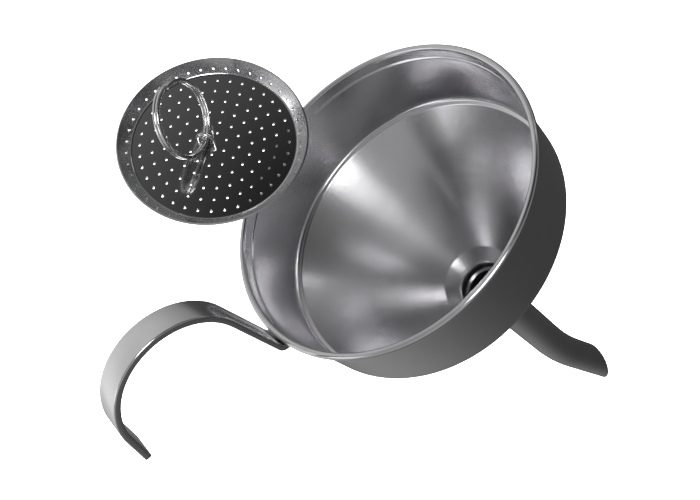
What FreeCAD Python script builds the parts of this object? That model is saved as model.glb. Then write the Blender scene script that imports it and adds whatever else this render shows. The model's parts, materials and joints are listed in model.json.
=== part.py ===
import FreeCAD, Part
import math
import os

# Decanting funnel: a spun steel bowl with a rolled rim, a brazed-in spout with a bent tip,
# a strap handle welded under the rim, and a loose strainer with a split pull ring.
#
# Frame: millimetres, +Z up along the funnel's axis, handle towards -X.
# The origin lies on the axis, halfway down the straight length of the spout that stands
# in a bottle's neck. Heights named rim_* and bowl_* are measured down from the rim's plane,
# the plane through the middle of the rolled bead.

Vector = FreeCAD.Vector
UP = Vector(0, 0, 1)

# ---- driving dimensions, mm and degrees ----
# bowl
RIM_RADIUS = 50.0            # outside of the rolled bead
SHEET = 0.5                  # steel sheet of the bowl and the strainer
RIM_WIRE_DIA = 1.1           # wire inside the bead
BEAD_WRAP = 295.0            # how far the sheet turns round the wire
RIM_BAND = 3.0               # plain band under the bead, down to the step
RIM_STEP_IN = 0.45           # how far the wall steps in below the band
WALL_DRAFT = 0.35            # how much the wall tapers in over its height
WALL_HEIGHT = 24.75          # rim plane to the corner where the cone starts
WALL_CORNER_RADIUS = 2.0     # inside radius of that corner
CONE_HEIGHT = 49.05          # wall corner to the neck
NECK_BORE_RADIUS = 7.75      # inside of the drawn collar
NECK_LIP_RADIUS = 9.0        # rounded lip from the cone into the collar
COLLAR_LENGTH = 6.5
# spout
TUBE_RADIUS = 6.35
TUBE_WALL = 0.6
SPOUT_TOP_DROP = 2.2         # the tube's top edge sits this far below the cone's end
BELL_BELOW_COLLAR = 1.6      # the widened top reaches this far out of the collar
BELL_TAPER = 4.0             # length over which the widened top narrows to the tube
STRAIGHT_LENGTH = 46.0
BEND_RADIUS = 145.0
BEND_ANGLE = 10.5
TIP_LENGTH = 24.0            # from the end of the bend to the middle of the tip
TIP_CUT_ANGLE = 60.0         # the tip's cut, from square to steeper
BRAZE_LEG = 1.1
# handle
STRAP_WIDTH = 9.5
STRAP_THICKNESS = 2.0
STRAP_EDGE_RADIUS = 0.45
STRAP_RIM_GAP = 0.3          # between the bead and the strap's upright
STRAP_UNDER_BEAD = 0.25      # between the bead and the foot below it
FOOT_BEND_RADIUS = 1.8       # to the middle of the strap
CROOK_RADIUS = 20.2          # to the middle of the strap
CROOK_CENTRE_HEIGHT = 19.7   # above the rim plane
CROOK_TURN = 161.0
CROOK_TIP_LENGTH = 9.4
HANDLE_WELD_LEG = 1.6
# strainer
STRAINER_RADIUS = 24.0
STRAINER_FLAT_RADIUS = 21.0
STRAINER_CORNER_RADIUS = 0.8
STRAINER_SEAT_GAP = 0.3      # between the strainer's flange and the cone at its seat
HOLE_DIA = 0.75
HOLE_RING_PITCH = 3.15       # from one circle of holes to the next
HOLE_RINGS = 6               # circles of holes in the flat plate
HOLES_PER_RING_STEP = 6      # each circle has this many more holes than the one inside it
FLANGE_HOLES_OUT = 0.8       # from the flat plate's edge out to the flange's circle of holes
# where the lifted strainer is held, its ring leaning uphill
LIFTED_X = -14.3
LIFTED_Y = 8.6
LIFTED_ABOVE_RIM = 50.15
LIFTED_TILT = 34.1
LIFTED_TILT_AZIMUTH = -57.1
# pull ring and its staple
STAPLE_WIRE_DIA = 1.0
STAPLE_SPAN = 4.0            # between the middles of the legs
STAPLE_OFF_CENTRE = 2.0      # from the plate's middle to the staple's, uphill
STAPLE_EYE_HEIGHT = 1.7      # eye above the plate
STAPLE_HOLE_GAP = 0.05
STAPLE_FOOT_LENGTH = 1.6
STAPLE_FOOT_RADIUS = 0.7     # to the middle of the wire
RING_RADIUS = 9.2            # to the middle of the strand
RING_STRAND_WIDTH = 1.1      # across the ring
RING_STRAND_THICKNESS = 0.85 # along the ring's axis
RING_COIL_GAP = 0.04
RING_TURNS = 2.0
RING_LEAN = 63.3             # from the plate
RING_END_AZIMUTH = 160.0     # where the coil ends, round the ring from the staple

# ---- sizes worked out from them ----
bead_radius = RIM_WIRE_DIA / 2 + SHEET
bead_circle_radius = RIM_RADIUS - bead_radius
band_radius = bead_circle_radius - bead_radius
wall_top_radius = band_radius - RIM_STEP_IN
wall_bottom_radius = wall_top_radius - WALL_DRAFT
cone_end_height = -(WALL_HEIGHT + CONE_HEIGHT)
collar_end_height = cone_end_height - COLLAR_LENGTH
cone_slope = CONE_HEIGHT / (wall_bottom_radius - NECK_BORE_RADIUS)
cone_angle = math.atan(cone_slope)
bell_top_height = cone_end_height - SPOUT_TOP_DROP
bell_end_height = collar_end_height - BELL_BELOW_COLLAR
straight_top_height = bell_end_height - BELL_TAPER
straight_end_height = straight_top_height - STRAIGHT_LENGTH
rim_height = -(straight_top_height + straight_end_height) / 2
tube_bore_radius = TUBE_RADIUS - TUBE_WALL
flange_width = STRAINER_RADIUS - STRAINER_FLAT_RADIUS - SHEET * math.sin(cone_angle)
flange_height = flange_width * cone_slope


def from_rim(height):
    """Height in the part's frame of a height measured from the rim's plane."""
    return rim_height + height


def corner_arc(before, corner, after, radius):
    """The arc of the given radius that rounds a corner, as its start, middle and end."""
    back = (before - corner).normalize()
    ahead = (after - corner).normalize()
    half = back.getAngle(ahead) / 2
    bisector = (back + ahead).normalize()
    reach = radius / math.tan(half)
    centre = corner + bisector * (radius / math.sin(half))
    middle = centre - bisector * radius
    return corner + back * reach, middle, corner + ahead * reach


def rounded_path(points, radii):
    """Lines through the points, with an arc at each point whose radius isn't zero."""
    edges = []
    last = points[0]
    for index in range(1, len(points) - 1):
        radius = radii[index]
        if radius == 0:
            edges.append(Part.LineSegment(last, points[index]).toShape())
            last = points[index]
            continue
        start, middle, end = corner_arc(points[index - 1], points[index], points[index + 1], radius)
        edges.append(Part.LineSegment(last, start).toShape())
        edges.append(Part.Arc(start, middle, end).toShape())
        last = end
    edges.append(Part.LineSegment(last, points[-1]).toShape())
    return edges


def offset_points(points, distance):
    """The same outline in the XZ plane, moved sideways to its left by a distance."""
    normals = []
    for first, second in zip(points[:-1], points[1:]):
        along = (second - first).normalize()
        normals.append(Vector(-along.z, 0, along.x))
    moved = [points[0] + normals[0] * distance]
    for index in range(1, len(points) - 1):
        mean = normals[index - 1] + normals[index]
        mitre = mean * (distance / (mean.dot(normals[index])))
        moved.append(points[index] + mitre)
    moved.append(points[-1] + normals[-1] * distance)
    return moved


def profile_point(radius, height):
    """A point of a lathe profile, its height measured from the rim's plane."""
    return Vector(radius, 0, from_rim(height))


def turned(edges):
    """The solid that a closed profile in the XZ plane sweeps round the Z axis."""
    return Part.Face(Part.Wire(edges)).revolve(Vector(0, 0, 0), UP, 360)


def closed_by_lines(points):
    """Edges of a closed polygon."""
    return Part.makePolygon(points + points[:1]).Edges


def bowl_inside_points():
    """Inside of the bowl's sheet, from the bead down to the collar's end."""
    return [
        profile_point(band_radius, 0),
        profile_point(band_radius, -RIM_BAND),
        profile_point(wall_top_radius, -RIM_BAND - RIM_STEP_IN),
        profile_point(wall_bottom_radius, -WALL_HEIGHT),
        profile_point(NECK_BORE_RADIUS, cone_end_height),
        profile_point(NECK_BORE_RADIUS, collar_end_height),
    ]


def bead_point(distance, degrees):
    """A point round the middle of the bead; 0 degrees is outwards and 90 is up."""
    angle = math.radians(degrees)
    return profile_point(bead_circle_radius + distance * math.cos(angle), distance * math.sin(angle))


def bead_arc(distance):
    """The bead's arc at a distance from the wire's middle, from the band over the top."""
    end = 180.0 - BEAD_WRAP
    middle = (180.0 + end) / 2
    return Part.Arc(bead_point(distance, 180), bead_point(distance, middle), bead_point(distance, end))


def make_bowl_shell():
    """One spun sheet: bead, band, wall, cone and drawn collar."""
    inside = bowl_inside_points()
    outside = offset_points(inside, SHEET)
    inside_radii = [0, 0, 0, WALL_CORNER_RADIUS, NECK_LIP_RADIUS, 0]
    outside_radii = [0, 0, 0, WALL_CORNER_RADIUS + SHEET, NECK_LIP_RADIUS - SHEET, 0]
    edges = rounded_path(inside, inside_radii) + rounded_path(outside, outside_radii)
    edges.append(Part.LineSegment(inside[-1], outside[-1]).toShape())
    edges.append(bead_arc(bead_radius).toShape())
    edges.append(bead_arc(bead_radius - SHEET).toShape())
    bead_end = 180.0 - BEAD_WRAP
    tip = Part.LineSegment(bead_point(bead_radius, bead_end), bead_point(bead_radius - SHEET, bead_end))
    edges.append(tip.toShape())
    return turned(Part.__sortEdges__(edges))


def bowl_envelope():
    """The bowl as a filled solid, for fitting what is welded to its outside."""
    outside = offset_points(bowl_inside_points(), SHEET)
    top = Vector(0, 0, outside[0].z)
    bottom = Vector(0, 0, outside[-1].z)
    body = turned(closed_by_lines(outside + [bottom, top]))
    bead = Part.makeTorus(bead_circle_radius, bead_radius, Vector(0, 0, from_rim(0)), UP)
    return body.fuse(bead)


def make_rim_wire():
    return Part.makeTorus(bead_circle_radius, RIM_WIRE_DIA / 2, Vector(0, 0, from_rim(0)), UP)


def spout_path():
    """Middle line of the tube below its widened top: straight, bend, straight tip."""
    bend = math.radians(BEND_ANGLE)
    start = profile_point(0, straight_top_height)
    bend_start = profile_point(0, straight_end_height)
    bend_middle = profile_point(
        BEND_RADIUS * (1 - math.cos(bend / 2)), straight_end_height - BEND_RADIUS * math.sin(bend / 2)
    )
    bend_end = profile_point(
        BEND_RADIUS * (1 - math.cos(bend)), straight_end_height - BEND_RADIUS * math.sin(bend)
    )
    along = Vector(math.sin(bend), 0, -math.cos(bend))
    return start, bend_start, bend_middle, bend_end, along


def spout_bar(radius):
    """A round bar along the spout's middle line, long enough to be cut at the tip."""
    start, bend_start, bend_middle, bend_end, along = spout_path()
    beyond = TIP_LENGTH + 2 * TUBE_RADIUS * math.tan(math.radians(TIP_CUT_ANGLE))
    path = Part.Wire([
        Part.LineSegment(start, bend_start).toShape(),
        Part.Arc(bend_start, bend_middle, bend_end).toShape(),
        Part.LineSegment(bend_end, bend_end + along * beyond).toShape(),
    ])
    section = Part.Wire([Part.makeCircle(radius, start, UP)])
    return path.makePipeShell([section], True, True)


def spout_bell(radius, bell_radius):
    """The turned upper end: widened part, then the taper to the tube."""
    return turned(closed_by_lines([
        profile_point(0, bell_top_height),
        profile_point(bell_radius, bell_top_height),
        profile_point(bell_radius, bell_end_height),
        profile_point(radius, straight_top_height),
        profile_point(0, straight_top_height),
    ]))


def tip_cutter():
    """Everything beyond the tip's slanting cut, whose opening faces away from the handle."""
    start, bend_start, bend_middle, bend_end, along = spout_path()
    tip = bend_end + along * TIP_LENGTH
    sideways = Vector(-along.z, 0, along.x)
    cut = math.radians(TIP_CUT_ANGLE)
    outwards = along * math.cos(cut) + sideways * math.sin(cut)
    size = STRAIGHT_LENGTH + TIP_LENGTH
    face = Part.makePlane(2 * size, 2 * size, Vector(-size, -size, 0))
    face.Placement = FreeCAD.Placement(tip, FreeCAD.Rotation(UP, outwards))
    return face.extrude(outwards * size)


def make_spout():
    bore_at_bell = NECK_BORE_RADIUS - TUBE_WALL
    outside = spout_bell(TUBE_RADIUS, NECK_BORE_RADIUS).fuse(spout_bar(TUBE_RADIUS))
    inside = spout_bell(tube_bore_radius, bore_at_bell).fuse(spout_bar(tube_bore_radius))
    return outside.cut(inside).cut(tip_cutter()).removeSplitter()


def make_neck_braze():
    """Ring of brazing metal in the corner between the collar's end and the spout."""
    return turned(closed_by_lines([
        profile_point(NECK_BORE_RADIUS, collar_end_height),
        profile_point(NECK_BORE_RADIUS + SHEET, collar_end_height),
        profile_point(NECK_BORE_RADIUS, collar_end_height - BRAZE_LEG),
    ]))


def rounded_rectangle(width, thickness, radius, origin, across, through):
    """A rounded rectangle's wire, with its width and thickness along two directions."""
    half_width = width / 2
    half_thickness = thickness / 2
    corners = [
        origin + across * half_width + through * half_thickness,
        origin + across * half_width - through * half_thickness,
        origin - across * half_width - through * half_thickness,
        origin - across * half_width + through * half_thickness,
    ]
    start = origin + through * half_thickness
    points = [start] + corners + [start]
    return Part.Wire(rounded_path(points, [0, radius, radius, radius, radius, 0]))


def strap_upright_radius():
    """Distance from the funnel's axis to the middle of the strap's upright."""
    return RIM_RADIUS + STRAP_RIM_GAP + STRAP_THICKNESS / 2


def strap_foot_height():
    """Height of the middle of the strap's foot, from the rim's plane."""
    return -(bead_radius + STRAP_UNDER_BEAD + STRAP_THICKNESS / 2)


def strap_path():
    """Middle line of the strap: foot under the bead, upright, crook and tip."""
    upright_x = -strap_upright_radius()
    foot = strap_foot_height()
    bend_x = upright_x + FOOT_BEND_RADIUS
    bend_centre = Vector(bend_x, 0, from_rim(foot + FOOT_BEND_RADIUS))
    diagonal = FOOT_BEND_RADIUS * math.sqrt(0.5)
    foot_start = Vector(-wall_bottom_radius, 0, from_rim(foot))
    foot_end = Vector(bend_x, 0, from_rim(foot))
    bend_middle = bend_centre + Vector(-diagonal, 0, -diagonal)
    bend_end = bend_centre + Vector(-FOOT_BEND_RADIUS, 0, 0)
    crook_start = Vector(upright_x, 0, from_rim(CROOK_CENTRE_HEIGHT))
    crook_centre = crook_start - Vector(CROOK_RADIUS, 0, 0)
    turn = math.radians(CROOK_TURN)
    crook_middle = crook_centre + Vector(math.cos(turn / 2), 0, math.sin(turn / 2)) * CROOK_RADIUS
    crook_end = crook_centre + Vector(math.cos(turn), 0, math.sin(turn)) * CROOK_RADIUS
    tip = crook_end + Vector(-math.sin(turn), 0, math.cos(turn)) * CROOK_TIP_LENGTH
    return Part.Wire([
        Part.LineSegment(foot_start, foot_end).toShape(),
        Part.Arc(foot_end, bend_middle, bend_end).toShape(),
        Part.LineSegment(bend_end, crook_start).toShape(),
        Part.Arc(crook_start, crook_middle, crook_end).toShape(),
        Part.LineSegment(crook_end, tip).toShape(),
    ])


def make_handle():
    path = strap_path()
    start = path.Vertexes[0].Point
    section = rounded_rectangle(
        STRAP_WIDTH, STRAP_THICKNESS, STRAP_EDGE_RADIUS, start, Vector(0, 1, 0), UP
    )
    return path.makePipeShell([section], True, False).cut(bowl_envelope())


def make_handle_weld():
    """Weld bead in the corner between the strap's foot and the wall below it."""
    foot_underside = strap_foot_height() - STRAP_THICKNESS / 2
    wall_outside = band_radius + SHEET
    span = 2 * math.degrees(math.asin(STRAP_WIDTH / 2 / wall_outside))
    corner = Part.Face(Part.Wire(closed_by_lines([
        profile_point(wall_bottom_radius, foot_underside),
        profile_point(wall_outside + HANDLE_WELD_LEG, foot_underside),
        profile_point(wall_bottom_radius, foot_underside - HANDLE_WELD_LEG - RIM_STEP_IN - WALL_DRAFT),
    ])))
    corner.rotate(Vector(0, 0, 0), UP, 180 - span / 2)
    return corner.revolve(Vector(0, 0, 0), UP, span).cut(bowl_envelope())


# ---- strainer, built level round its own origin: the middle of the plate's upper face ----

def strainer_profile():
    """The dish's section: flat plate, then a flange as steep as the cone."""
    upper = [
        Vector(0, 0, 0),
        Vector(STRAINER_FLAT_RADIUS, 0, 0),
        Vector(STRAINER_FLAT_RADIUS + flange_width, 0, flange_height),
    ]
    lower = offset_points(upper, -SHEET)
    radius = STRAINER_CORNER_RADIUS
    edges = rounded_path(upper, [0, radius, 0]) + rounded_path(lower, [0, radius + SHEET, 0])
    edges.append(Part.LineSegment(upper[0], lower[0]).toShape())
    edges.append(Part.LineSegment(upper[-1], lower[-1]).toShape())
    return Part.__sortEdges__(edges)


def plate_holes():
    """Circles of holes in the flat plate, each one staggered from the one inside it."""
    holes = []
    for ring in range(1, HOLE_RINGS + 1):
        count = HOLES_PER_RING_STEP * ring
        for index in range(count):
            angle = 2 * math.pi * (index + ring % 2 / 2) / count
            radius = ring * HOLE_RING_PITCH
            base = Vector(radius * math.cos(angle), radius * math.sin(angle), -2 * SHEET)
            holes.append(Part.makeCylinder(HOLE_DIA / 2, 3 * SHEET, base, UP))
    return holes


def flange_holes():
    """One circle of holes square through the sloping flange."""
    count = HOLES_PER_RING_STEP * (HOLE_RINGS + 1)
    through = Vector(-math.sin(cone_angle), 0, math.cos(cone_angle))
    middle = Vector(STRAINER_FLAT_RADIUS + FLANGE_HOLES_OUT, 0, FLANGE_HOLES_OUT * cone_slope)
    hole = Part.makeCylinder(HOLE_DIA / 2, 4 * SHEET, middle - through * 2.5 * SHEET, through)
    holes = []
    for index in range(count):
        turned_hole = hole.copy()
        turned_hole.rotate(Vector(0, 0, 0), UP, 360.0 * index / count)
        holes.append(turned_hole)
    return holes


def staple_leg_holes():
    """Two holes that the staple's legs pass through."""
    radius = STAPLE_WIRE_DIA / 2 + STAPLE_HOLE_GAP
    holes = []
    for side in (-1, 1):
        base = Vector(STAPLE_OFF_CENTRE + side * STAPLE_SPAN / 2, 0, -2 * SHEET)
        holes.append(Part.makeCylinder(radius, 3 * SHEET, base, UP))
    return holes


def make_strainer_dish():
    dish = turned(strainer_profile())
    return dish.cut(Part.makeCompound(plate_holes() + flange_holes() + staple_leg_holes()))


def make_ring_staple():
    """Bent wire: an arched eye above the plate, legs through it and feet turned out below."""
    half = STAPLE_SPAN / 2
    foot_height = -SHEET - STAPLE_WIRE_DIA / 2
    foot_reach = half + STAPLE_FOOT_LENGTH
    bend = STAPLE_FOOT_RADIUS
    left = rounded_path(
        [Vector(-foot_reach, 0, foot_height), Vector(-half, 0, foot_height), Vector(-half, 0, STAPLE_EYE_HEIGHT)],
        [0, bend, 0],
    )
    crown = Part.Arc(
        Vector(-half, 0, STAPLE_EYE_HEIGHT),
        Vector(0, 0, STAPLE_EYE_HEIGHT + half),
        Vector(half, 0, STAPLE_EYE_HEIGHT),
    ).toShape()
    right = rounded_path(
        [Vector(half, 0, STAPLE_EYE_HEIGHT), Vector(half, 0, foot_height), Vector(foot_reach, 0, foot_height)],
        [0, bend, 0],
    )
    path = Part.Wire(left + [crown] + right)
    section = Part.Wire([
        Part.makeCircle(STAPLE_WIRE_DIA / 2, Vector(-foot_reach, 0, foot_height), Vector(1, 0, 0))
    ])
    staple = path.makePipeShell([section], True, True)
    staple.translate(Vector(STAPLE_OFF_CENTRE, 0, 0))
    return staple


def make_pull_ring():
    """Split ring: one strand wound twice round, lying through the staple's eye."""
    pitch = RING_STRAND_THICKNESS + RING_COIL_GAP
    height = pitch * RING_TURNS
    coil = Part.makeHelix(pitch, height, RING_RADIUS)
    section = Part.makePolygon([
        Vector(RING_RADIUS - RING_STRAND_WIDTH / 2, 0, -RING_STRAND_THICKNESS / 2),
        Vector(RING_RADIUS + RING_STRAND_WIDTH / 2, 0, -RING_STRAND_THICKNESS / 2),
        Vector(RING_RADIUS + RING_STRAND_WIDTH / 2, 0, RING_STRAND_THICKNESS / 2),
        Vector(RING_RADIUS - RING_STRAND_WIDTH / 2, 0, RING_STRAND_THICKNESS / 2),
        Vector(RING_RADIUS - RING_STRAND_WIDTH / 2, 0, -RING_STRAND_THICKNESS / 2),
    ])
    ring = Part.Wire(coil).makePipeShell([section], True, True)
    ring.translate(Vector(0, 0, -height / 2))
    ring.rotate(Vector(0, 0, 0), UP, 180 + RING_END_AZIMUTH)
    ring.translate(Vector(RING_RADIUS, 0, 0))
    ring.rotate(Vector(0, 0, 0), Vector(0, 1, 0), -RING_LEAN)
    ring.translate(Vector(STAPLE_OFF_CENTRE, 0, STAPLE_EYE_HEIGHT))
    return ring


def lifted_placement():
    """From the strainer's own frame to where it is held above the bowl."""
    tilt = FreeCAD.Rotation(UP, LIFTED_TILT_AZIMUTH)
    tilt = tilt.multiply(FreeCAD.Rotation(Vector(0, 1, 0), LIFTED_TILT))
    tilt = tilt.multiply(FreeCAD.Rotation(UP, 180))
    rim_middle = Vector(LIFTED_X, LIFTED_Y, from_rim(LIFTED_ABOVE_RIM))
    normal = tilt.multVec(UP)
    return FreeCAD.Placement(rim_middle - normal * flange_height, tilt)


def seat_height():
    """Height of the plate's upper face when the strainer sits level in the cone."""
    gap = STRAINER_SEAT_GAP + SHEET
    radius = STRAINER_FLAT_RADIUS + gap / math.sin(cone_angle)
    return from_rim(-WALL_HEIGHT - (wall_bottom_radius - radius) * cone_slope)


def main():
    os.makedirs("parts", exist_ok=True)
    pieces = {
        "bowl_shell": make_bowl_shell(),
        "rim_wire": make_rim_wire(),
        "spout": make_spout(),
        "neck_braze": make_neck_braze(),
        "handle": make_handle(),
        "handle_weld": make_handle_weld(),
    }
    lifted = {
        "strainer_dish": make_strainer_dish(),
        "ring_staple": make_ring_staple(),
        "pull_ring": make_pull_ring(),
    }
    for name, shape in lifted.items():
        shape.Placement = lifted_placement().multiply(shape.Placement)
        pieces[name] = shape
    for name, shape in pieces.items():
        shape.exportStep(os.path.join("parts", name + ".step"))
    print("the strainer's plate at its seat: z = %.3f mm" % seat_height())


if __name__ == "__main__":
    main()
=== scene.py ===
import json
import math

import bpy
from bpy.props import FloatProperty, FloatVectorProperty, IntProperty, PointerProperty
from mathutils import Matrix, Vector


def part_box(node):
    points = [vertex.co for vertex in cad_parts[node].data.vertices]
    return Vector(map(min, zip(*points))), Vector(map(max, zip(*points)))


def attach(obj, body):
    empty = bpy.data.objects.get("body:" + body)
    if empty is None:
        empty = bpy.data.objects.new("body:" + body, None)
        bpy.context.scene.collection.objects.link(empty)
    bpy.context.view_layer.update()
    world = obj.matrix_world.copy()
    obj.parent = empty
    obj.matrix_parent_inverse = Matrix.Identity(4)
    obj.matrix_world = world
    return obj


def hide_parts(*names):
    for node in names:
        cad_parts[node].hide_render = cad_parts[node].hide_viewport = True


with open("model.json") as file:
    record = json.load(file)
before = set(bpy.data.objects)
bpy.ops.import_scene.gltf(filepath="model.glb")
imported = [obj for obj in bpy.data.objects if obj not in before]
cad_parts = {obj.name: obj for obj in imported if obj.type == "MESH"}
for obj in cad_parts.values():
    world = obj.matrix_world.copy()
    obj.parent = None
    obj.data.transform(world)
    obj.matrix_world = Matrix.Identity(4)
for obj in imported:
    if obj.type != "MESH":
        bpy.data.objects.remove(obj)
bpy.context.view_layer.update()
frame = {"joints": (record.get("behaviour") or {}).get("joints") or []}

bl_info = {
    "name": "Decanting funnel",
    "version": (1, 0, 0),
    "blender": (4, 5, 0),
    "location": "View3D > Sidebar > Funnel",
    "description": "Spun steel funnel with a bent spout, a strap handle and a lift-out strainer",
    "category": "Object",
}

MM = 0.001
BOWL_LOW, BOWL_HIGH = (Vector(corner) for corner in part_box("bowl_shell"))
SPOUT_LOW, SPOUT_HIGH = (Vector(corner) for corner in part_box("spout"))
HANDLE_LOW, HANDLE_HIGH = (Vector(corner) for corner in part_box("handle"))
RING_LOW, RING_HIGH = (Vector(corner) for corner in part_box("pull_ring"))
JOINTS = {joint["name"]: joint for joint in frame["joints"]}
LIFT = JOINTS["strainer_lift"]
RING_EYE = Vector(JOINTS["pull_ring_swing"]["pos_m"])
RING_AXIS = Vector(JOINTS["pull_ring_swing"]["axis"]).normalized()

PIN_HOLE = 10 * MM      # radius of the small opening that is closed in the middle of the floor
DOME_END = 89.7         # degrees up the backdrop's dome at which it stops
FLOOR_GLOW = 0.85       # strength of the floor's own light
ROOM_LIMITS = (0.02, 2.0)
FOOT_TUCK = 0.3         # share of the sheet that the handle's foot reaches into the wall
DISH_MERGE = 0.002 * MM
COIL_MERGE = 0.001 * MM
FLANGE_START = 0.1 * MM     # past the flat plate's edge
GRAIN_HEIGHT = 0.02 * MM
BURNISH = 0.2           # share of the roughness that burnishing takes off the wall
BURNISH_FADE = 2 * MM   # height over which it sets in


def length(name, description, default):
    """A size in metres that the sidebar shows in the scene's own unit."""
    return FloatProperty(name=name, description=description, default=default, min=0, precision=5,
                         unit="LENGTH")


def angle(name, description, default):
    """An angle, given in degrees and kept in radians."""
    return FloatProperty(name=name, description=description, default=math.radians(default),
                         subtype="ANGLE")


def tone(name, description, default):
    """A colour in three channels."""
    return FloatVectorProperty(name=name, description=description, default=default, subtype="COLOR",
                               min=0, max=1, size=3)


def share(name, description, default):
    """A number from 0 to 1."""
    return FloatProperty(name=name, description=description, default=default, min=0, max=1,
                         subtype="FACTOR")


class FunnelBowlSizes(bpy.types.PropertyGroup):
    """The spun bowl: one sheet from the rolled rim to the drawn collar."""
    sheet: length("Sheet", "Thickness of the steel sheet", 0.5 * MM)
    bead: length("Bead", "Radius of the rolled rim's bead", 1.05 * MM)
    bead_wrap: angle("Bead wrap", "How far the sheet turns round the rim's wire", 295)
    band: length("Band", "Plain band between the bead and the step", 3 * MM)
    step: length("Step", "How far the wall steps in below the band", 0.45 * MM)
    step_round: length("Step rounding", "Radius of the step's two corners", 0.4 * MM)
    draft: length("Draft", "How much the wall tapers in over its height", 0.35 * MM)
    wall: length("Wall", "Height from the rim's plane to the cone", 24.75 * MM)
    wall_corner: length("Wall corner", "Inside radius where the wall meets the ledge", 1.3 * MM)
    ledge: length("Ledge", "Width of the flatter ledge at the foot of the wall", 1.5 * MM)
    ledge_rise: share("Ledge rise", "Height the ledge gains for its width", 0.5)
    land: length("Land", "From the neck's bore out to the top of the flatter land round it", 5 * MM)
    land_rise: share("Land rise", "Height the land gains for its width", 0.88)
    neck_bore: length("Neck bore", "Inside radius of the drawn collar", 7.75 * MM)
    neck_lip: length("Neck lip", "Radius where the land turns into the collar", 4 * MM)
    collar: length("Collar", "Length of the drawn collar", 6.5 * MM)
    steps: IntProperty(name="Steps round", description="Faces round the bowl", default=224, min=24)


class FunnelSpoutSizes(bpy.types.PropertyGroup):
    """The spout: a tube with a widened top, a bend and a slanting cut."""
    tube: length("Tube", "Outside radius of the tube", 6.35 * MM)
    wall: length("Wall", "Wall thickness of the tube", 0.6 * MM)
    bell: length("Bell", "Outside radius of the widened top", 7.75 * MM)
    taper: length("Taper", "Length over which the top narrows to the tube", 4 * MM)
    straight: length("Straight", "Length of the straight tube", 46 * MM)
    bend: length("Bend", "Radius of the bend", 145 * MM)
    bend_angle: angle("Bend angle", "How far the tip turns", 10.5)
    tip: length("Tip", "From the bend to the middle of the tip", 24 * MM)
    cut: angle("Cut", "Slant of the tip's cut", 60)
    steps: IntProperty(name="Steps round", description="Faces round the tube", default=96, min=16)


class FunnelHandleSizes(bpy.types.PropertyGroup):
    """The strap handle: foot, upright, crook and tip."""
    width: length("Width", "Width of the strap", HANDLE_HIGH.y - HANDLE_LOW.y)
    thickness: length("Thickness", "Thickness of the strap", 2 * MM)
    edge: length("Edge", "Rounding of the strap's edges", 0.45 * MM)
    rim_gap: length("Rim gap", "Between the rim and the strap's upright", 0.3 * MM)
    bead_gap: length("Bead gap", "Between the bead and the foot under it", 0.25 * MM)
    foot_bend: length("Foot bend", "Radius of the foot's bend", 1.8 * MM)
    crook: length("Crook", "Radius of the crook", 20.2 * MM)
    crook_height: length("Crook height", "From the rim's plane to the crook's middle", 19.7 * MM)
    crook_turn: angle("Crook turn", "How far the crook turns", 161)
    tip: length("Tip", "Straight length at the crook's end", 9.4 * MM)


class FunnelStrainerSizes(bpy.types.PropertyGroup):
    """The strainer dish: a punched flat plate with a flange as steep as the cone."""
    rim: length("Rim", "Outside radius of the flange", 24 * MM)
    flat: length("Flat", "Radius of the flat plate", 21 * MM)
    corner: length("Corner", "Inside radius between plate and flange", 0.8 * MM)
    hole: length("Hole", "Radius of each punched hole's throat", 0.3 * MM)
    hole_edge: length("Hole edge", "Width of the rounded-off edge round each hole", 0.1 * MM)
    pitch: length("Pitch", "From one circle of holes to the next", 3.15 * MM)
    flange_holes_out: length(
        "Flange holes", "From the flat plate's edge out to the flange's holes", 0.8 * MM)
    circles: IntProperty(name="Circles", description="Circles of holes in the plate", default=6, min=1)
    more_per_circle: IntProperty(
        name="Holes added", description="Holes that each circle adds", default=6, min=1)
    steps: IntProperty(name="Steps round", description="Faces round the dish", default=252, min=24)


class FunnelRingSizes(bpy.types.PropertyGroup):
    """The strainer's pull ring and the wire staple that holds it."""
    ring: length("Ring", "Radius to the middle of the ring's strand", 9.2 * MM)
    strand_width: length("Strand width", "Across the ring", 1.1 * MM)
    strand_thickness: length("Strand thickness", "Along the ring's axis", 0.85 * MM)
    strand_round: length("Strand rounding", "Rounding of the strand's edges", 0.3 * MM)
    coil_gap: length("Coil gap", "Between the ring's two turns", 0.04 * MM)
    end_angle: angle("End", "Where the coil ends, round the ring from the staple", 160)
    wire: length("Wire", "Thickness of the staple's wire", 1 * MM)
    span: length("Span", "Between the staple's legs", 4 * MM)
    eye: length("Eye", "Height of the staple's eye above the plate", 1.7 * MM)
    foot: length("Foot", "Length of each foot under the plate", 1.6 * MM)
    foot_bend: length("Foot bend", "Radius of the staple's feet", 0.7 * MM)
    off_centre: length("Off centre", "From the plate's middle to the staple's", 2 * MM)


class FunnelFinish(bpy.types.PropertyGroup):
    """Colours and polish of the steels."""
    bowl: tone("Bowl steel", "Spun and satin finished", (0.64, 0.635, 0.65))
    spout: tone("Spout steel", "Drawn tube, satin finished", (0.58, 0.575, 0.57))
    strap: tone("Strap steel", "Polished strap", (0.70, 0.70, 0.705))
    plate: tone("Strainer steel", "Mirror polished", (0.50, 0.50, 0.505))
    flange: tone("Flange steel", "The strainer's flange, satin finished", (0.57, 0.57, 0.58))
    wire: tone("Wire steel", "Bright drawn wire", (0.66, 0.66, 0.665))
    weld: tone("Weld metal", "Heat-tinted weld and braze", (0.42, 0.40, 0.36))
    satin: share("Satin", "Roughness of the spun satin finish", 0.22)
    polish: share("Polish", "Roughness of the polished finish", 0.16)
    mirror: share("Mirror", "Roughness of the mirror finish", 0.09)


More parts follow.
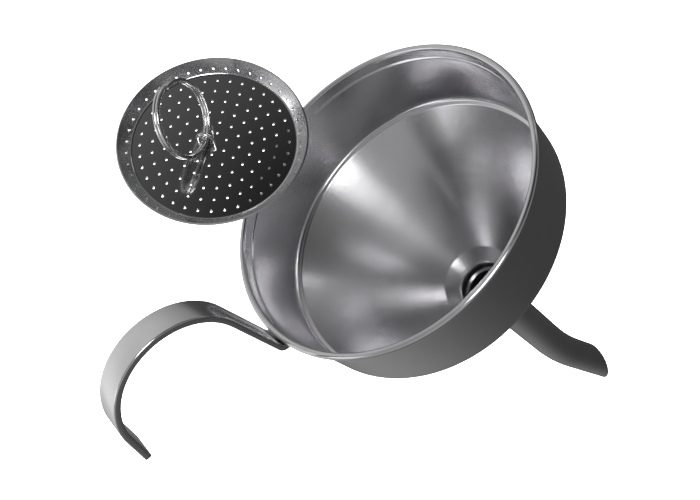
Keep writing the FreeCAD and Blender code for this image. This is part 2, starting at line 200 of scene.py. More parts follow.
class FunnelStage(bpy.types.PropertyGroup):
    """Floor and camera."""
    eye: FloatVectorProperty(
        name="Camera", description="Camera's place from the middle of the rim",
        default=(-0.01992, -0.15996, 0.16647), size=3, precision=5, subtype="TRANSLATION", unit="LENGTH")
    heading: angle("Heading", "Camera's turn from straight along +Y towards +X", 0.9)
    downward: angle("Downward", "Camera's angle below level", 47.063)
    roll: angle("Roll", "Camera's turn about its own line of sight", -54.447)
    lens: FloatProperty(name="Lens", description="Focal length in millimetres", default=41.366)
    floor_drop: length("Floor", "How far the floor lies below the spout's tip", 0.32)
    floor_reach: length("Reach", "Radius of the flat floor", 1.4)
    sweep: length("Sweep", "Radius of the curve from the floor to the backdrop", 0.8)


# ---- selecting and shaping ----

def deselect_all():
    bpy.ops.object.select_all(action="DESELECT")
    bpy.context.view_layer.objects.active = None


def pick(piece):
    """Selects one piece, no other, and makes it active."""
    bpy.ops.object.select_all(action="DESELECT")
    piece.select_set(True)
    bpy.context.view_layer.objects.active = piece


def edit(piece):
    """Opens a piece for editing, all of it selected."""
    bpy.context.view_layer.objects.active = piece
    bpy.ops.object.mode_set(mode="EDIT")
    bpy.ops.mesh.select_all(action="SELECT")


def begin(name):
    """Names the primitive that was just added and opens it for editing."""
    piece = bpy.context.object
    piece.name = name
    piece.data.name = name
    edit(piece)
    return piece


def end_editing():
    bpy.ops.object.mode_set(mode="OBJECT")


def extrude(offset):
    bpy.ops.mesh.extrude_region_move(TRANSFORM_OT_translate={"value": tuple(offset)})


def resize(factor, centre):
    bpy.ops.transform.resize(value=(factor, factor, 1), center_override=tuple(centre))


def rotate(turn, axis, centre):
    """Turns the selection the right-handed way; without a window the operator turns the other way."""
    value = -turn if bpy.app.background else turn
    bpy.ops.transform.rotate(value=value, orient_axis=axis, center_override=tuple(centre))


def select_faces(piece, wanted):
    """In edit mode, selects the faces that a test accepts, and no other."""
    bpy.ops.mesh.select_mode(type="FACE")
    bpy.ops.mesh.select_all(action="DESELECT")
    bpy.ops.object.mode_set(mode="OBJECT")
    for face in piece.data.polygons:
        face.select = wanted(face)
    bpy.ops.object.mode_set(mode="EDIT")


def add_modifier(piece, kind, **settings):
    """Adds a modifier and applies it."""
    modifier = piece.modifiers.new(kind.title(), kind)
    for key, value in settings.items():
        setattr(modifier, key, value)
    bpy.context.view_layer.objects.active = piece
    bpy.ops.object.modifier_apply(modifier=modifier.name)


def smooth(piece, sharp=35):
    """Shades a piece smooth, with sharp edges past an angle in degrees."""
    pick(piece)
    bpy.ops.object.shade_smooth_by_angle(angle=math.radians(sharp))


def place(piece, matrix):
    """Puts a finished piece where it belongs, with its place in its mesh."""
    pick(piece)
    piece.matrix_world = matrix
    bpy.ops.object.transform_apply(location=True, rotation=True, scale=True)


def settle(piece):
    """Turns the faces of a piece in editing outwards, ends editing and keeps its place in its mesh."""
    bpy.ops.mesh.select_all(action="SELECT")
    bpy.ops.mesh.normals_make_consistent(inside=False)
    end_editing()
    place(piece, piece.matrix_world.copy())


def finish_piece(piece, body, node, material):
    """Rides the piece on its body, stands it in for its CAD node and gives it its steel."""
    piece.data.materials.clear()
    piece.data.materials.append(material)
    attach(piece, body)
    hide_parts(node)
    deselect_all()


# ---- outlines: lists of (radius, height) ----

def arc(centre, radius, start, turn, steps):
    """Points of an arc, from an angle through a turn, both in degrees."""
    points = []
    for index in range(steps + 1):
        at = math.radians(start + turn * index / steps)
        points.append(Vector((centre[0] + radius * math.cos(at), centre[1] + radius * math.sin(at))))
    return points


def rounded_corner(before, corner, after, radius, steps):
    """The corner of an outline as a round arc."""
    before, corner, after = Vector(before), Vector(corner), Vector(after)
    back = (before - corner).normalized()
    ahead = (after - corner).normalized()
    half = back.angle(ahead) / 2
    centre = corner + (back + ahead).normalized() * (radius / math.sin(half))
    start = corner + back * (radius / math.tan(half)) - centre
    turn = -math.degrees(start.angle_signed(corner + ahead * (radius / math.tan(half)) - centre))
    return arc(centre, radius, math.degrees(math.atan2(start.y, start.x)), turn, steps)


def turned_sheet(name, outline, steps):
    """A surface turned round the Z axis: a circle, extruded and resized from ring to ring."""
    deselect_all()
    radius, height = outline[0]
    bpy.ops.mesh.primitive_circle_add(vertices=steps, radius=radius, location=(0, 0, height))
    piece = begin(name)
    for radius_now, height_now in outline[1:]:
        extrude((0, 0, height_now - height))
        resize(radius_now / radius, (0, 0, height_now))
        radius, height = radius_now, height_now
    end_editing()
    place(piece, piece.matrix_world.copy())
    return piece


def face_up(piece, sample):
    """Turns the sheet over if the face nearest to a point looks down."""
    nearest = min(piece.data.polygons, key=lambda face: (face.center - sample).length)
    if nearest.normal.z < 0:
        piece.select_set(True)
        edit(piece)
        bpy.ops.mesh.flip_normals()
        end_editing()


class DrawnBar:
    """A section drawn along straight runs and bends that lie in the XZ plane."""

    def __init__(self, start, heading):
        self.place = Vector(start)
        self.heading = Vector(heading).normalized()

    def run(self, distance):
        step = self.heading * distance
        extrude(step)
        self.place += step

    def bend(self, turn, radius, steps):
        """A positive turn bends from +Z towards +X."""
        side = Vector((self.heading.z, 0, -self.heading.x)) * math.copysign(radius, turn)
        centre = self.place + side
        for _ in range(steps):
            extrude((0, 0, 0))
            rotate(turn / steps, "Y", centre)
        swing = Matrix.Rotation(turn, 3, "Y")
        self.place = centre + swing @ (self.place - centre)
        self.heading = swing @ self.heading


def rounded_section(name, width, thickness, rounding, steps):
    """A flat rounded rectangle in the XY plane, width along Y, opened for editing."""
    deselect_all()
    bpy.ops.mesh.primitive_plane_add(size=1, location=(0, 0, 0))
    bpy.context.object.scale = (thickness, width, 1)
    bpy.ops.object.transform_apply(location=True, rotation=True, scale=True)
    piece = begin(name)
    bpy.ops.mesh.bevel(offset=rounding, segments=steps, affect="VERTICES", offset_type="OFFSET")
    return piece


# ---- materials ----

class Socket:
    """A node's output that can be used in sums."""

    def __init__(self, paint, output):
        self.paint = paint
        self.output = output

    def maths(self, operation, *values):
        return self.paint.node("ShaderNodeMath", {"operation": operation}, dict(enumerate(values)))

    def __add__(self, other):
        return self.maths("ADD", self, other)

    __radd__ = __add__

    def __sub__(self, other):
        return self.maths("SUBTRACT", self, other)

    def __rsub__(self, other):
        return self.maths("SUBTRACT", other, self)

    def __mul__(self, other):
        return self.maths("MULTIPLY", self, other)

    __rmul__ = __mul__

    def __pow__(self, other):
        return self.maths("POWER", self, other)

    def clamped(self, low=0.0, high=1.0):
        """The value, held between two limits."""
        return self.maths("MAXIMUM", self.maths("MINIMUM", self, high), low)


class Paint:
    """A material, or the world, built node by node."""

    def __init__(self, owner, output="ShaderNodeOutputMaterial"):
        self.owner = owner
        owner.use_nodes = True
        self.tree = owner.node_tree
        self.tree.nodes.clear()
        self.out = self.tree.nodes.new(output)

    def node(self, kind, settings=None, inputs=None, output=0):
        """Adds a node, sets its settings first and then its sockets, and gives one output."""
        made = self.tree.nodes.new(kind)
        for key, value in (settings or {}).items():
            if key == "stops":
                self.set_stops(made.color_ramp, value)
            else:
                setattr(made, key, value)
        for key, value in (inputs or {}).items():
            if isinstance(value, Socket):
                self.tree.links.new(value.output, made.inputs[key])
            else:
                made.inputs[key].default_value = value
        return Socket(self, made.outputs[output])

    def set_stops(self, ramp, stops):
        while len(ramp.elements) < len(stops):
            ramp.elements.new(0.5)
        for element, (position, value) in zip(ramp.elements, stops):
            element.position = position
            element.color = (*value, 1) if isinstance(value, tuple) else (value, value, value, 1)

    def blend(self, factor, first, second):
        """A mix of two colours."""
        inputs = {"Factor": factor, 6: first, 7: second}
        return self.node("ShaderNodeMix", {"data_type": "RGBA"}, inputs, output=2)

    def here(self):
        """Object coordinates, in metres."""
        return self.node("ShaderNodeTexCoord", output="Object")

    def stretched(self, scale, turn=(0, 0, 0), shift=(0, 0, 0)):
        """Object coordinates, shifted, turned and scaled."""
        inputs = {"Vector": self.here(), "Location": shift, "Rotation": turn, "Scale": scale}
        return self.node("ShaderNodeMapping", {"vector_type": "POINT"}, inputs)

    def noise(self, vector, scale, detail=4.0, roughness=0.55, distortion=0.0):
        inputs = {"Vector": vector, "Scale": scale, "Detail": detail, "Roughness": roughness,
                  "Distortion": distortion}
        return self.node("ShaderNodeTexNoise", {}, inputs, output="Fac")

    def part(self, vector, axis):
        """One part of a vector: X, Y or Z."""
        return self.node("ShaderNodeSeparateXYZ", {}, {"Vector": vector}, output=axis)

    def joined(self, x, y, z):
        """A vector made from its three parts."""
        return self.node("ShaderNodeCombineXYZ", {}, {"X": x, "Y": y, "Z": z})

    def show(self, shader):
        self.tree.links.new(shader.output, self.out.inputs["Surface"])


def shade(value, factor):
    """A colour made lighter or darker."""
    return tuple(min(1.0, channel * factor) for channel in value) + (1.0,)


def steel(name, base, roughness, grain, grain_depth, smudge=0.25, stain=0.05, stretch=0.0,
          burnish=None):
    """A steel: grain gives the brushing's pattern, smudges vary the polish, stains the colour.

    Stretch draws the highlights out across the brushing. Burnish gives the share of the roughness
    that is kept at a place.
    """
    paint = Paint(bpy.data.materials.new(name))
    brushing = grain(paint)
    clouds = paint.noise(paint.stretched((60, 60, 60)), 1.0, detail=5)
    handling = paint.noise(paint.stretched((210, 210, 210), shift=(3, 1, 2)), 1.0, detail=6, roughness=0.65)
    dulling = (handling * 1.6 - 0.45).clamped()
    colour = paint.blend((clouds * 1.9 - 0.5).clamped(), shade(base, 1 - stain), shade(base, 1 + stain))
    rough = roughness + (dulling - 0.4) * (smudge * roughness) + (brushing - 0.5) * (0.3 * roughness)
    if burnish:
        rough = rough * burnish(paint)
    bump = paint.node("ShaderNodeBump", {}, {
        "Strength": grain_depth, "Distance": GRAIN_HEIGHT, "Height": brushing})
    shader = paint.node("ShaderNodeBsdfPrincipled", {}, {
        "Base Color": colour, "Metallic": 1.0, "Roughness": rough.clamped(0.04, 0.9), "Normal": bump,
        "Anisotropic": stretch, "Anisotropic Rotation": 0.25})
    paint.show(shader)
    return paint.owner


def spun_grain(paint):
    """Fine rings left by turning: they follow radius and height and hardly change on the way round."""
    across, along, height = (paint.part(paint.here(), axis) for axis in "XYZ")
    ring = height - across.maths("SQRT", across * across + along * along)
    fine = paint.joined(across * 45, along * 45, ring * 2600)
    broad = paint.joined(across * 25, along * 25, ring * 900)
    return paint.noise(fine, 1.0, detail=2) * 0.65 + paint.noise(broad, 1.0, detail=2) * 0.35


def wall_burnish(paint):
    """The wall above the cone is burnished brighter than the cone."""
    foot = rim_plane() - bpy.context.scene.funnel_bowl.wall
    above = (paint.part(paint.here(), "Z") - foot) * (1 / BURNISH_FADE)
    return 1 - above.clamped() * BURNISH


def drawn_grain(paint):
    """Fine lines along the tube, left by drawing it."""
    return paint.noise(paint.stretched((3200, 3200, 60)), 1.0, detail=3)


def strap_grain(paint):
    """Faint lines along the strap, left by rolling and polishing it."""
    return paint.noise(paint.stretched((60, 3600, 60)), 1.0, detail=3)


def polished_grain(paint):
    """Hairline scratches that cross at random."""
    first = paint.noise(paint.stretched((2600, 90, 90), turn=(0.4, 0.2, 0.7)), 1.0, detail=2)
    second = paint.noise(paint.stretched((90, 2400, 90), turn=(0.1, 0.6, -0.5)), 1.0, detail=2)
    return first * 0.5 + second * 0.5


def weld_grain(paint):
    """The uneven skin of metal that has run and set."""
    return paint.noise(paint.stretched((900, 900, 900)), 1.0, detail=5, roughness=0.6)


# ---- pieces ----

def rim_plane():
    """Height of the plane through the middle of the rolled bead."""
    return BOWL_HIGH.z - bpy.context.scene.funnel_bowl.bead


def bowl_outline(bowl):
    """The bowl's inner surface from the collar's end up and over the bead to its curled edge."""
    rim = rim_plane()
    bead_centre = (BOWL_HIGH.x - bowl.bead, rim)
    band_radius = bead_centre[0] - bowl.bead
    wall_top = band_radius - bowl.step
    wall_bottom = wall_top - bowl.draft
    rise = cone_rise(bowl)
    ledge_foot = (wall_bottom - bowl.ledge, rim - bowl.wall - bowl.ledge * rise)
    ledge_end = (wall_bottom, ledge_foot[1] + bowl.ledge * bowl.ledge_rise)
    land_top = (bowl.neck_bore + bowl.land, BOWL_LOW.z + bowl.collar + bowl.land * rise)
    collar_foot = (bowl.neck_bore, BOWL_LOW.z)
    collar_head = (bowl.neck_bore, land_top[1] - bowl.land * bowl.land_rise)
    step_low = (wall_top, rim - bowl.band - bowl.step)
    step_high = (band_radius, rim - bowl.band)
    band_head = (band_radius, rim)
    outline = [Vector(collar_foot)]
    outline += rounded_corner(collar_foot, collar_head, land_top, bowl.neck_lip, 12)
    outline += rounded_corner(collar_head, land_top, ledge_foot, bowl.wall_corner, 4)
    outline += rounded_corner(land_top, ledge_foot, ledge_end, bowl.wall_corner, 4)
    outline += rounded_corner(ledge_foot, ledge_end, step_low, bowl.wall_corner, 8)
    outline += rounded_corner(ledge_end, step_low, step_high, bowl.step_round, 4)
    outline += rounded_corner(step_low, step_high, band_head, bowl.step_round, 4)
    outline += arc(bead_centre, bowl.bead, 180, -math.degrees(bowl.bead_wrap), 26)
    return outline


class FUNNEL_OT_bowl(bpy.types.Operator):
    """Spin the bowl: collar, cone, wall, stepped band and rolled rim in one sheet"""
    bl_idname = "funnel.bowl"
    bl_label = "Bowl"

    def execute(self, context):
        bowl = context.scene.funnel_bowl
        finish = context.scene.funnel_finish
        piece = turned_sheet("bowl", bowl_outline(bowl), bowl.steps)
        face_up(piece, Vector((BOWL_HIGH.x / 2, 0, (BOWL_LOW.z + BOWL_HIGH.z) / 2)))
        add_modifier(piece, "SOLIDIFY", thickness=bowl.sheet, offset=-1, use_even_offset=True)
        smooth(piece)
        material = steel("spun_steel", finish.bowl, finish.satin, spun_grain, 0.03, smudge=0.1,
                         stretch=0.5, burnish=wall_burnish)
        finish_piece(piece, "funnel", "bowl_shell", material)
        return {"FINISHED"}


class FUNNEL_OT_spout(bpy.types.Operator):
    """Draw the spout: widened top, taper, straight tube, bend and slanting tip"""
    bl_idname = "funnel.spout"
    bl_label = "Spout"

    def execute(self, context):
        spout = context.scene.funnel_spout
        finish = context.scene.funnel_finish
        deselect_all()
        top = SPOUT_HIGH.z
        bell_end = spout.straight / 2 + spout.taper
        bpy.ops.mesh.primitive_circle_add(vertices=spout.steps, radius=spout.bell, location=(0, 0, top))
        piece = begin("spout_tube")
        bar = DrawnBar((0, 0, top), (0, 0, -1))
        bar.run(top - bell_end)
        bar.run(spout.taper)
        resize(spout.tube / spout.bell, bar.place)
        bar.run(spout.straight)
        bar.bend(-spout.bend_angle, spout.bend, steps=12)
        tip = bar.place + bar.heading * spout.tip
        bar.run(spout.tip + 2 * spout.tube * math.tan(spout.cut))
        outwards = Matrix.Rotation(-spout.cut, 3, "Y") @ bar.heading
        settle(piece)
        if max(piece.data.polygons, key=lambda face: face.center.x).normal.x < 0:
            piece.data.flip_normals()
        add_modifier(piece, "SOLIDIFY", thickness=spout.wall, offset=-1, use_even_offset=True)
        edit(piece)
        bpy.ops.mesh.bisect(plane_co=tuple(tip), plane_no=tuple(outwards), use_fill=True,
                            clear_outer=True)
        end_editing()
        smooth(piece)
        material = steel("drawn_steel", finish.spout, finish.satin * 1.15, drawn_grain, 0.15, smudge=0.2)
        finish_piece(piece, "funnel", "spout", material)
        return {"FINISHED"}


class FUNNEL_OT_handle(bpy.types.Operator):
    """Bend the strap handle: foot under the rim, upright, crook and straight tip"""
    bl_idname = "funnel.handle"
    bl_label = "Handle"

    def execute(self, context):
        strap = context.scene.funnel_handle
        bowl = context.scene.funnel_bowl
        finish = context.scene.funnel_finish
        rim = rim_plane()
        wall = BOWL_HIGH.x - 2 * bowl.bead + bowl.sheet * FOOT_TUCK
        upright = BOWL_HIGH.x + strap.rim_gap + strap.thickness / 2
        foot = rim - bowl.bead - strap.bead_gap - strap.thickness / 2
        piece = rounded_section("strap_handle", strap.width, strap.thickness, strap.edge, 4)
        bpy.ops.transform.translate(value=(-foot, 0, -wall))
        rotate(math.pi / 2, "Y", (0, 0, 0))
        bar = DrawnBar((-wall, 0, foot), (-1, 0, 0))
        bar.run(upright - strap.foot_bend - wall)
        bar.bend(math.pi / 2, strap.foot_bend, steps=8)
        bar.run(rim + strap.crook_height - bar.place.z)
        bar.bend(-strap.crook_turn, strap.crook, steps=48)
        bar.run(strap.tip)
        settle(piece)
        smooth(piece)
        material = steel("polished_strap_steel", finish.strap, finish.polish, strap_grain, 0.08,
                         smudge=0.3)
        finish_piece(piece, "funnel", "handle", material)
        return {"FINISHED"}


class FUNNEL_OT_joins(bpy.types.Operator):
    """Finish the weld under the handle, the braze under the collar and the wire in the rim"""
    bl_idname = "funnel.joins"
    bl_label = "Weld, braze and wire"

    def execute(self, context):
        finish = context.scene.funnel_finish
        weld = steel("weld_metal", finish.weld, finish.satin * 1.5, weld_grain, 0.9)
        wire = steel("rim_wire_steel", finish.wire, finish.polish, polished_grain, 0.1)
        for node, material in (("handle_weld", weld), ("neck_braze", weld), ("rim_wire", wire)):
            bpy.data.objects[node].material_slots[0].material = material
        return {"FINISHED"}


def dish_frame(ring):
    """The held strainer's own frame: X towards the staple, Z square to the plate, origin in its middle."""
    level = Matrix.Rotation(-math.radians(LIFT["range_deg"][1]), 3, Vector(LIFT["axis"]))
    upright = level @ Vector((0, 0, 1))
    across = -RING_AXIS
    along = across.cross(upright).normalized()
    middle = RING_EYE - along * ring.off_centre - upright * ring.eye
    return Matrix.Translation(middle) @ Matrix((along, across, upright)).transposed().to_4x4()


def cone_rise(bowl):
    """Height that the cone gains for each metre of radius."""
    height = rim_plane() - bowl.wall - BOWL_LOW.z - bowl.collar
    wall_bottom = BOWL_HIGH.x - 2 * bowl.bead - bowl.step - bowl.draft
    return height / (wall_bottom - bowl.neck_bore)


def hole_places(dish, rise):
    """Where each hole's punch stands: its middle on the upper face, and its lean towards the axis."""
    places = []
    for circle in range(1, dish.circles + 1):
        count = dish.more_per_circle * circle
        for index in range(count):
            at = 2 * math.pi * (index + circle % 2 / 2) / count
            places.append((at, circle * dish.pitch, 0.0, 0.0))
    count = dish.more_per_circle * (dish.circles + 1)
    for index in range(count):
        at = 2 * math.pi * index / count
        out = dish.flange_holes_out
        places.append((at, dish.flat + out, out * rise, math.atan(rise)))
    return places


def make_punches(dish, sheet, rise):
    """One punch with a flared shoulder, copied to every hole and joined."""
    deselect_all()
    bpy.ops.mesh.primitive_cylinder_add(vertices=12, radius=dish.hole, depth=4 * sheet,
                                        location=(0, 0, 0))
    punch = begin("punches")
    select_faces(punch, lambda face: face.normal.z > 0.9)
    bpy.ops.transform.translate(value=(0, 0, -2 * sheet - dish.hole_edge))
    extrude((0, 0, 2 * dish.hole_edge))
    resize((dish.hole + 2 * dish.hole_edge) / dish.hole, (0, 0, 0))
    extrude((0, 0, sheet))
    settle(punch)
    copies = []
    for at, radius, height, lean in hole_places(dish, rise):
        copy = punch.copy()
        copy.data = punch.data.copy()
        bpy.context.scene.collection.objects.link(copy)
        copy.matrix_world = (Matrix.Rotation(at, 4, "Z") @ Matrix.Translation((radius, 0, height))
                             @ Matrix.Rotation(-lean, 4, "Y"))
        copies.append(copy)
    deselect_all()
    punch.select_set(True)
    bpy.ops.object.delete()
    for copy in copies:
        copy.select_set(True)
    bpy.context.view_layer.objects.active = copies[0]
    bpy.ops.object.join()
    return copies[0]


def fill_open_edge(piece, radius):
    """Closes the opening round the Z axis that lies inside a radius."""
    bpy.context.view_layer.objects.active = piece
    bpy.ops.object.mode_set(mode="EDIT")
    bpy.ops.mesh.select_mode(type="EDGE")
    bpy.ops.mesh.select_all(action="DESELECT")
    end_editing()
    for edge in piece.data.edges:
        edge.select = all(piece.data.vertices[index].co.xy.length < radius for index in edge.vertices)
    bpy.ops.object.mode_set(mode="EDIT")
    bpy.ops.mesh.edge_face_add()
    end_editing()


class FUNNEL_OT_strainer(bpy.types.Operator):
    """Press the strainer dish and punch its circles of holes"""
    bl_idname = "funnel.strainer"
    bl_label = "Strainer"

    def execute(self, context):
        dish = context.scene.funnel_strainer
        finish = context.scene.funnel_finish
        sheet = context.scene.funnel_bowl.sheet
        rise = cone_rise(context.scene.funnel_bowl)
        wide = dish.rim - dish.flat - sheet * math.sin(math.atan(rise))
        edge = (dish.flat + wide, wide * rise)
        first = dish.pitch / 2
        outline = [Vector((first + dish.pitch * index, 0)) for index in range(dish.circles)]
        outline += rounded_corner((0, 0), (dish.flat, 0), edge, dish.corner, 8)
        outline += [Vector(edge)]
        piece = turned_sheet("strainer_plate", outline, dish.steps)
        fill_open_edge(piece, first * 1.1)
        face_up(piece, Vector((0, 0, 0)))
        add_modifier(piece, "SOLIDIFY", thickness=sheet, offset=-1, use_even_offset=True)
        punches = make_punches(dish, sheet, rise)
        add_modifier(piece, "BOOLEAN", operation="DIFFERENCE", solver="EXACT", object=punches)
        bpy.data.objects.remove(punches)
        edit(piece)
        bpy.ops.mesh.remove_doubles(threshold=DISH_MERGE)
        bpy.ops.mesh.dissolve_degenerate(threshold=DISH_MERGE)
        end_editing()
        held = dish_frame(context.scene.funnel_ring)
        place(piece, held)
        smooth(piece)
        add_modifier(piece, "WEIGHTED_NORMAL", keep_sharp=True, weight=100)
        material = steel("mirror_plate_steel", finish.plate, finish.mirror, polished_grain, 0.01,
                         smudge=0.1)
        finish_piece(piece, "strainer", "strainer_dish", material)
        piece.data.materials.append(
            steel("flange_steel", finish.flange, finish.polish, polished_grain, 0.01, smudge=0.1))
        level = held.inverted()
        for face in piece.data.polygons:
            face.material_index = int((level @ face.center).xy.length > dish.flat + FLANGE_START)
        return {"FINISHED"}


class FUNNEL_OT_staple(bpy.types.Operator):
    """Bend the staple: turned-out feet under the plate, two legs and an arched eye"""
    bl_idname = "funnel.staple"
    bl_label = "Staple"

    def execute(self, context):
        ring = context.scene.funnel_ring
        finish = context.scene.funnel_finish
        sheet = context.scene.funnel_bowl.sheet
        half = ring.span / 2
        foot = -sheet - ring.wire / 2
        start = ring.off_centre - half - ring.foot
        deselect_all()
        bpy.ops.mesh.primitive_circle_add(vertices=20, radius=ring.wire / 2, fill_type="NGON",
                                          location=(start, 0, foot), rotation=(0, math.pi / 2, 0))
        piece = begin("ring_eye_staple")
        bar = DrawnBar((start, 0, foot), (1, 0, 0))
        bar.run(ring.foot - ring.foot_bend)
        bar.bend(-math.pi / 2, ring.foot_bend, steps=6)
        bar.run(ring.eye - foot - ring.foot_bend)
        bar.bend(math.pi, half, steps=20)
        bar.run(ring.eye - foot - ring.foot_bend)
        bar.bend(-math.pi / 2, ring.foot_bend, steps=6)
        bar.run(ring.foot - ring.foot_bend)
        settle(piece)
        place(piece, dish_frame(ring))
        smooth(piece)
        material = steel("staple_wire_steel", finish.wire, finish.polish, polished_grain, 0.03,
                         smudge=0.3)
        finish_piece(piece, "strainer", "ring_staple", material)
        return {"FINISHED"}


class FUNNEL_OT_pull_ring(bpy.types.Operator):
    """Coil the split ring, two turns of rounded strand, through the staple's eye"""
    bl_idname = "funnel.pull_ring"
    bl_label = "Pull ring"

    def execute(self, context):
        ring = context.scene.funnel_ring
        finish = context.scene.funnel_finish
        pitch = ring.strand_thickness + ring.coil_gap
        piece = rounded_section("split_ring", ring.strand_thickness, ring.strand_width,
                                ring.strand_round, 4)
        rotate(math.pi / 2, "X", (0, 0, 0))
        bpy.ops.transform.translate(value=(ring.ring, 0, -pitch))
        bpy.ops.mesh.delete(type="ONLY_FACE")
        end_editing()
        place(piece, piece.matrix_world.copy())
        add_modifier(piece, "SCREW", axis="Z", angle=2 * math.pi, screw_offset=pitch, iterations=2,
                     steps=128, render_steps=128, use_merge_vertices=False)
        edit(piece)
        bpy.ops.mesh.remove_doubles(threshold=COIL_MERGE)
        bpy.ops.mesh.select_all(action="DESELECT")
        bpy.ops.mesh.select_mode(type="EDGE")
        bpy.ops.mesh.select_non_manifold()
        bpy.ops.mesh.edge_face_add()
        settle(piece)
        towards = (RING_LOW + RING_HIGH) / 2 - RING_EYE
        towards = (towards - RING_AXIS * towards.dot(RING_AXIS)).normalized()
        normal = towards.cross(-RING_AXIS)
        turned = Matrix((towards, -RING_AXIS, normal)).transposed().to_4x4()
        spin = Matrix.Rotation(math.pi + ring.end_angle, 4, "Z")
        place(piece, Matrix.Translation(RING_EYE + towards * ring.ring) @ turned @ spin)
        smooth(piece)
        material = steel("spring_steel", finish.wire, finish.polish * 0.8, polished_grain, 0.02)
        finish_piece(piece, "pull_ring", "pull_ring", material)
        return {"FINISHED"}


# ---- stage ----

SOFT_LIGHTS = (
    # name, direction it stands in from the rim, distance, width, height, power
    ("front_light", (-0.02, -0.60, 0.80), 0.50, 0.17, 0.17, 0.98),
    ("left_light", (-0.83, 0.20, 0.52), 0.80, 0.36, 0.22, 0.30),
    ("right_light", (0.90, -0.10, 0.45), 0.90, 0.12, 0.20, 0.07),
)
# height, from 0 straight down to 1 straight up, and brightness
ROOM_TONES = ((0.0, 0.06), (0.40, 0.06), (0.50, 0.24), (0.70, 0.29), (1.0, 0.29))
ROOM_GLOWS = (
    # direction, strength (below zero for a dark card), how narrow
    ((-0.72, 0.68, 0.05), 0.70, 4.0),
    ((-0.60, 0.20, -0.77), 0.20, 5.0),
    ((-0.70, -0.70, 0.10), 0.20, 4.0),
    ((0.20, 0.68, 0.65), 0.32, 4.0),
    ((0.57, -0.19, 0.80), -0.33, 7.0),
)


class FUNNEL_OT_stage(bpy.types.Operator):
    """Lay the floor and its backdrop, set up the soft lights and place the camera"""
    bl_idname = "funnel.stage"
    bl_label = "Stage"

    def execute(self, context):
        stage = context.scene.funnel_stage
        rim = Vector((0, 0, rim_plane()))
        floor = SPOUT_LOW.z - stage.floor_drop
        self.lay_floor(stage, floor)
        self.light_world(context)
        for name, direction, distance, width, height, power in SOFT_LIGHTS:
            light = bpy.data.lights.new(name, "AREA")
            light.shape = "RECTANGLE"
            light.size = width
            light.size_y = height
            light.energy = power
            lamp = bpy.data.objects.new(name, light)
            context.scene.collection.objects.link(lamp)
            away = Vector(direction).normalized()
            lamp.location = rim + away * distance
            lamp.rotation_euler = away.to_track_quat("Z", "Y").to_euler()
        self.place_camera(context, stage, rim)
        return {"FINISHED"}

    def lay_floor(self, stage, height):
        outline = [Vector((PIN_HOLE, height)), Vector((stage.floor_reach, height))]
        outline += arc((stage.floor_reach, height + stage.sweep), stage.sweep, -90, 90, 16)[1:]
        reach = stage.floor_reach + stage.sweep
        outline += arc((0, height + stage.sweep), reach, 0, DOME_END, 24)[1:]
        floor = turned_sheet("floor", outline, 96)
        fill_open_edge(floor, PIN_HOLE * 1.1)
        smooth(floor)
        paint = Paint(bpy.data.materials.new("pale_paper"))
        fibre = paint.noise(paint.stretched((40, 40, 40)), 1.0, detail=4)
        tint = paint.blend(fibre, (0.90, 0.90, 0.90, 1), (0.93, 0.93, 0.93, 1))
        paint.show(paint.node("ShaderNodeBsdfPrincipled", {}, {
            "Base Color": tint, "Roughness": 0.9, "Emission Color": tint,
            "Emission Strength": FLOOR_GLOW}))
        floor.data.materials.append(paint.owner)
        floor.visible_glossy = False
        floor.visible_shadow = False
        deselect_all()

    def light_world(self, context):
        """A dim room for the steel to reflect: dark below, grey above."""
        world = bpy.data.worlds.new("studio_room")
        context.scene.world = world
        paint = Paint(world, "ShaderNodeOutputWorld")
        direction = paint.node("ShaderNodeTexCoord", output="Generated")
        height = paint.part(direction, "Z")
        brightness = paint.node("ShaderNodeValToRGB", {"stops": ROOM_TONES},
                                {"Fac": height * 0.5 + 0.5})
        for towards, strength, narrowness in ROOM_GLOWS:
            aim = Vector(towards).normalized()
            facing = paint.node("ShaderNodeVectorMath", {"operation": "DOT_PRODUCT"},
                                {0: direction, 1: aim}, output="Value")
            brightness = brightness + facing.clamped() ** narrowness * strength
        brightness = brightness.clamped(*ROOM_LIMITS)
        paint.show(paint.node("ShaderNodeBackground", {}, {"Color": brightness, "Strength": 1.0}))

    def place_camera(self, context, stage, rim):
        camera = bpy.data.objects.new("camera", bpy.data.cameras.new("camera"))
        context.scene.collection.objects.link(camera)
        camera.data.lens = stage.lens
        camera.data.sensor_width = 36
        camera.data.clip_start = 0.01
        camera.matrix_world = (
            Matrix.Translation(rim + Vector(stage.eye))
            @ Matrix.Rotation(-stage.heading, 4, "Z")
            @ Matrix.Rotation(math.pi / 2 - stage.downward, 4, "X")
            @ Matrix.Rotation(stage.roll, 4, "Z")
        )
        context.scene.camera = camera
        context.scene.view_settings.view_transform = "Standard"


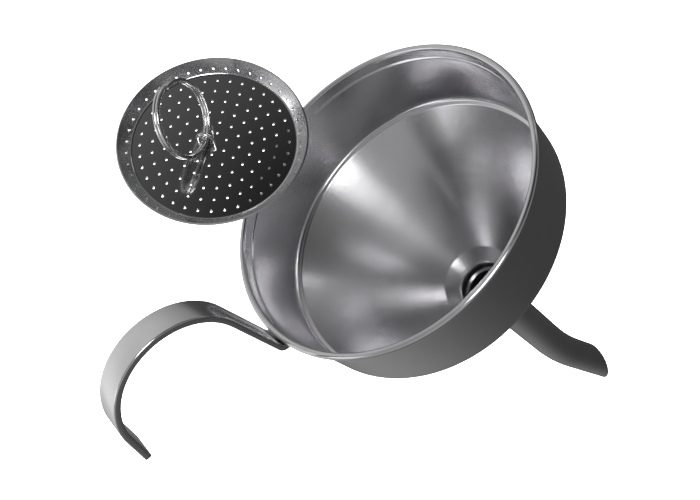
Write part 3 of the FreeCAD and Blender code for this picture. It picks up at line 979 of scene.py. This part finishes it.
class FUNNEL_PT_panel(bpy.types.Panel):
    """The funnel's sizes, finishes and making, in the 3D view's sidebar"""
    bl_idname = "FUNNEL_PT_panel"
    bl_label = "Funnel"
    bl_space_type = "VIEW_3D"
    bl_region_type = "UI"
    bl_category = "Funnel"

    def draw(self, context):
        for group in GROUPS:
            box = self.layout.box()
            settings = getattr(context.scene, group)
            box.label(text=group.replace("_", " ").capitalize())
            for prop in settings.bl_rna.properties:
                if prop.identifier in settings.__annotations__:
                    box.prop(settings, prop.identifier)
        for operator in OPERATORS:
            self.layout.operator(operator.bl_idname)


GROUPS = {
    "funnel_bowl": FunnelBowlSizes,
    "funnel_spout": FunnelSpoutSizes,
    "funnel_handle": FunnelHandleSizes,
    "funnel_strainer": FunnelStrainerSizes,
    "funnel_ring": FunnelRingSizes,
    "funnel_finish": FunnelFinish,
    "funnel_stage": FunnelStage,
}
OPERATORS = (
    FUNNEL_OT_stage,
    FUNNEL_OT_bowl,
    FUNNEL_OT_spout,
    FUNNEL_OT_handle,
    FUNNEL_OT_joins,
    FUNNEL_OT_strainer,
    FUNNEL_OT_staple,
    FUNNEL_OT_pull_ring,
)


def register():
    for group in GROUPS.values():
        bpy.utils.register_class(group)
    for name, group in GROUPS.items():
        setattr(bpy.types.Scene, name, PointerProperty(type=group))
    for operator in OPERATORS:
        bpy.utils.register_class(operator)
    bpy.utils.register_class(FUNNEL_PT_panel)


def unregister():
    bpy.utils.unregister_class(FUNNEL_PT_panel)
    for operator in reversed(OPERATORS):
        bpy.utils.unregister_class(operator)
    for name in GROUPS:
        delattr(bpy.types.Scene, name)
    for group in reversed(list(GROUPS.values())):
        bpy.utils.unregister_class(group)


def main():
    register()
    bpy.ops.funnel.stage()
    bpy.ops.funnel.bowl()
    bpy.ops.funnel.spout()
    bpy.ops.funnel.handle()
    bpy.ops.funnel.joins()
    bpy.ops.funnel.strainer()
    bpy.ops.funnel.staple()
    bpy.ops.funnel.pull_ring()


if __name__ == "__main__":
    main()
